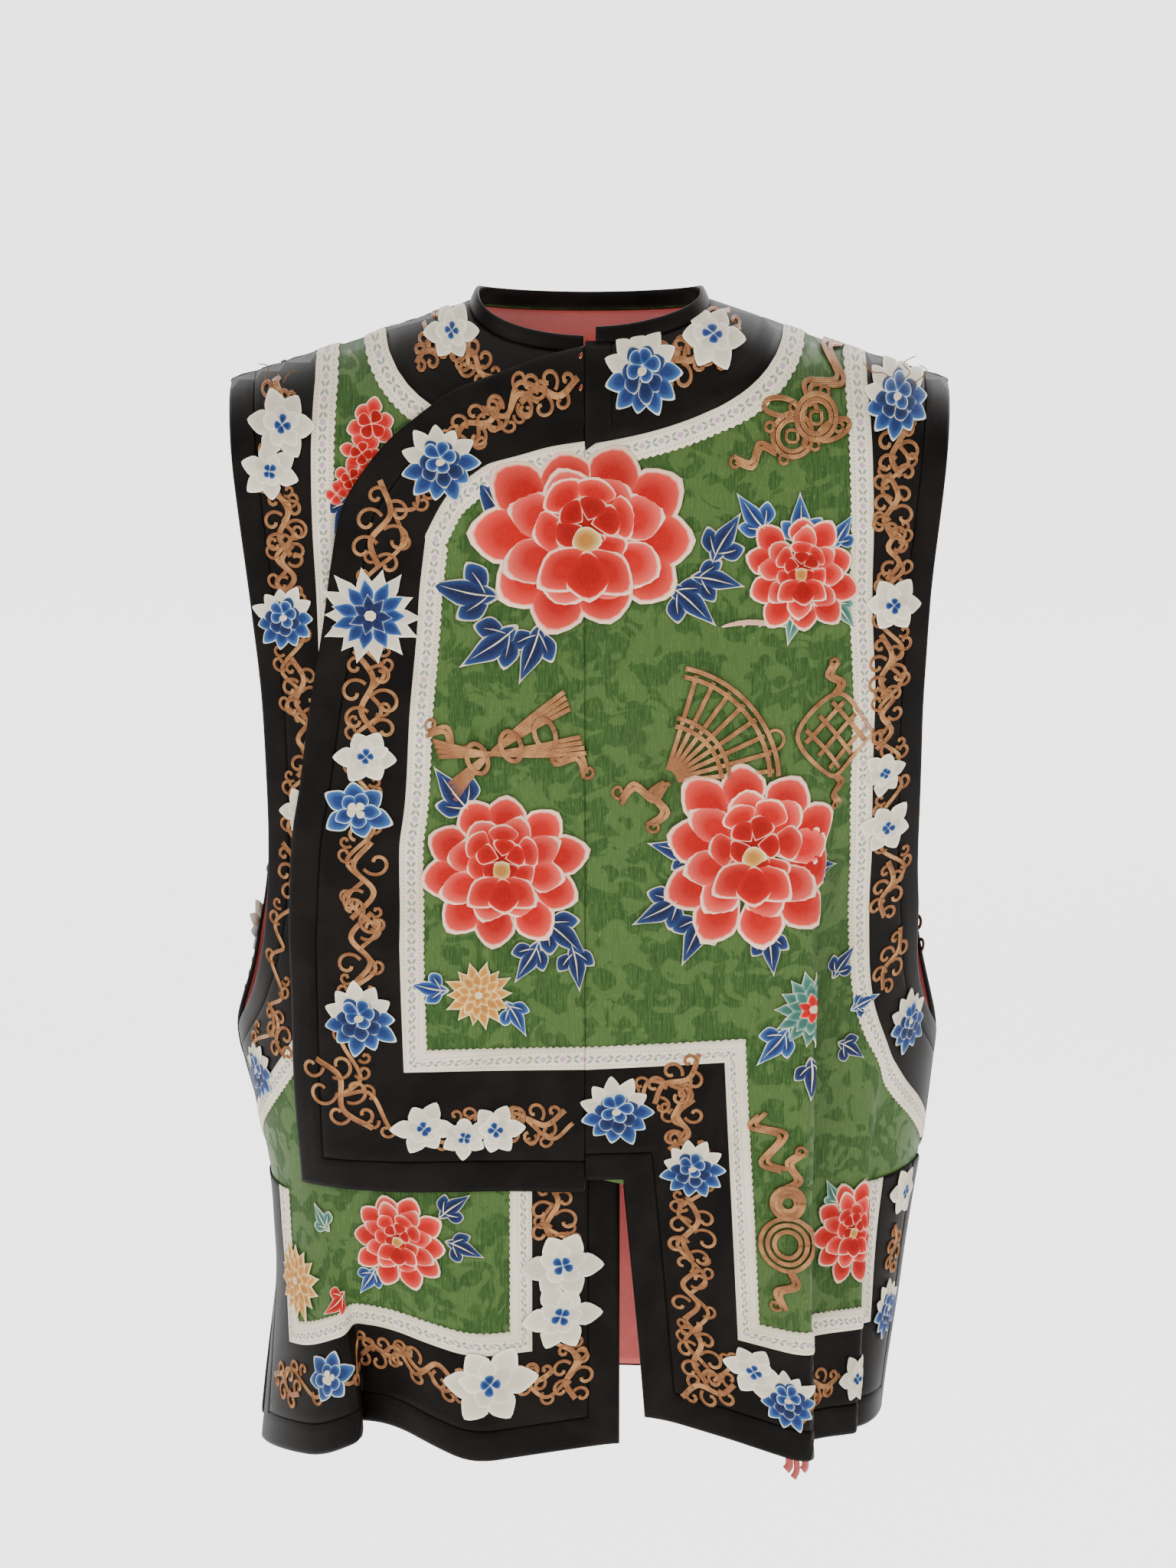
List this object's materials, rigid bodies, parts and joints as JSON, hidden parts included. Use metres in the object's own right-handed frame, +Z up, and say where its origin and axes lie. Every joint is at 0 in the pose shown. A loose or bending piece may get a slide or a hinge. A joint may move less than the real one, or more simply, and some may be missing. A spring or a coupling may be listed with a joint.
{
  "type": "sleeveless vest",
  "caption": "Hollow worn sleeveless vest with a lute-shaped overlapping front flap, low neck stand, side slits and broad bordered edges.",
  "frame": {"origin": "midway between the shoulders, level with the sides of the neck, where the worn vest hangs from its shoulders", "axes": "+Z up, the front faces -Y, +X towards the wearer's left"},
  "size_m": [0.4594, 0.2603, 0.7646],
  "materials": {
    "green silk": "damask silk, soft sheen",
    "black satin": "satin",
    "woven ribbon": "woven silk",
    "red lining": "plain silk"
  },
  "bodies": {
    "root": {"front_right_under": "green silk", "front_flap": "green silk", "front_left": "green silk", "back_left": "green silk", "back_right": "green silk", "lining_right_under": "red lining", "lining_left": "red lining", "lining_back": "red lining", "neck_binding": "black satin", "right_under_binding": "black satin", "right_under_binding_2": "black satin", "right_under_band": "black satin", "right_under_band_2": "black satin", "right_under_ribbon": "woven ribbon", "right_under_ribbon_2": "woven ribbon", "flap_binding": "black satin", "flap_band": "black satin", "flap_ribbon": "woven ribbon", "left_binding": "black satin", "left_binding_2": "black satin", "left_binding_3": "black satin", "left_band": "black satin", "left_band_2": "black satin", "left_band_3": "black satin", "left_ribbon": "woven ribbon", "left_ribbon_2": "woven ribbon", "left_ribbon_3": "woven ribbon", "back_binding": "black satin", "back_binding_2": "black satin", "back_binding_3": "black satin", "back_band": "black satin", "back_band_2": "black satin", "back_band_3": "black satin", "back_band_4": "black satin", "back_ribbon": "woven ribbon", "back_ribbon_2": "woven ribbon", "back_ribbon_3": "woven ribbon", "back_ribbon_4": "woven ribbon"}
  },
  "joints": []
}
